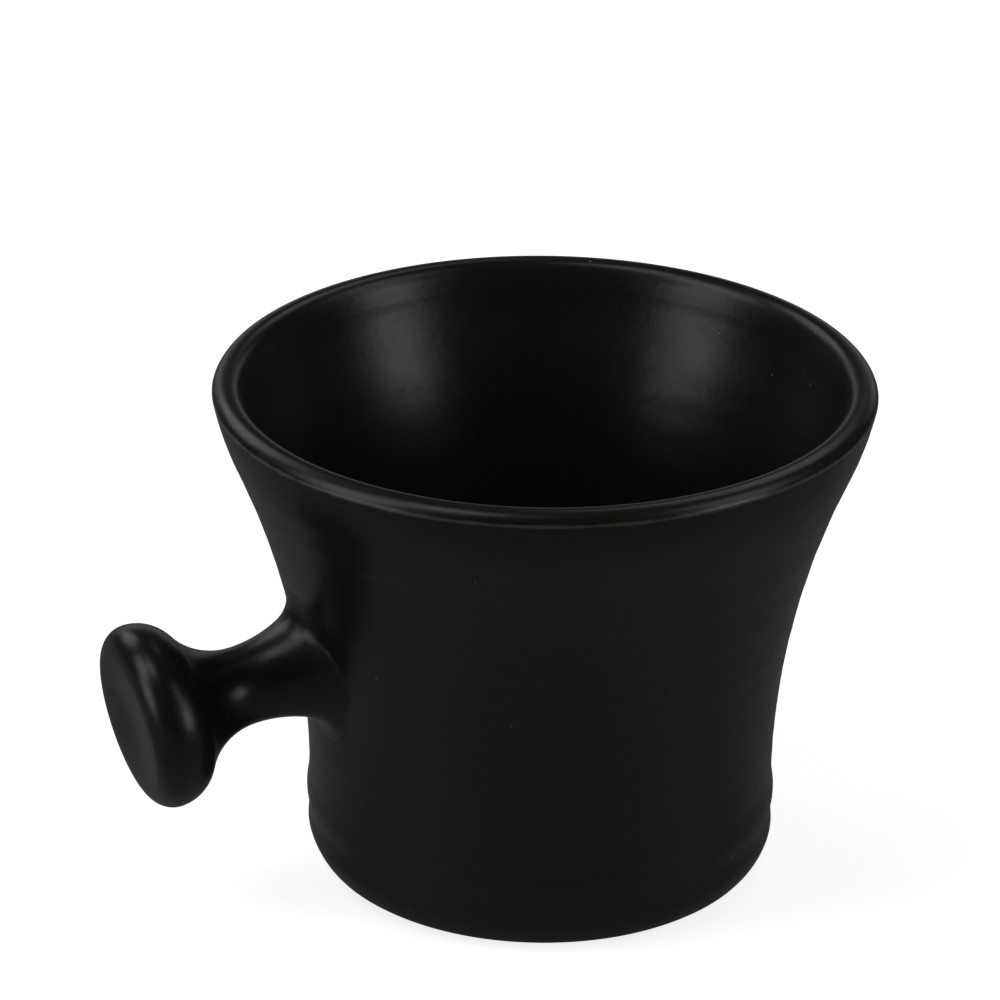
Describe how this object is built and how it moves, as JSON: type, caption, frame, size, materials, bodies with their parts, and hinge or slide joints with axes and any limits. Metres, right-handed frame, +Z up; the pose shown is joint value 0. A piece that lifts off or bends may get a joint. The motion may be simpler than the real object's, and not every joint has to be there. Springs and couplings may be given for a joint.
{
  "type": "shaving mug",
  "caption": "Flared glazed stoneware cup on a low foot ring, with a short turned knob on its side as a handle.",
  "frame": {"origin": "on the cup's axis at the plane the foot ring stands on", "axes": "+Z up along the cup's axis, handle pointing along -X, +Y completes the right-handed frame"},
  "size_m": [0.1218, 0.1022, 0.0808],
  "materials": {
    "stoneware": "unglazed fired clay, slightly gritty",
    "slip": "fired slip, fine and matte",
    "satin_black_glaze": "satin black glaze, breaking to brown on the lip's edge"
  },
  "bodies": {
    "root": {"cup_body": "stoneware", "knob_handle": "stoneware", "luting_slip": "slip", "inside_glaze": "satin_black_glaze", "outside_glaze": "satin_black_glaze", "handle_glaze": "satin_black_glaze", "base_glaze": "satin_black_glaze"}
  },
  "joints": []
}
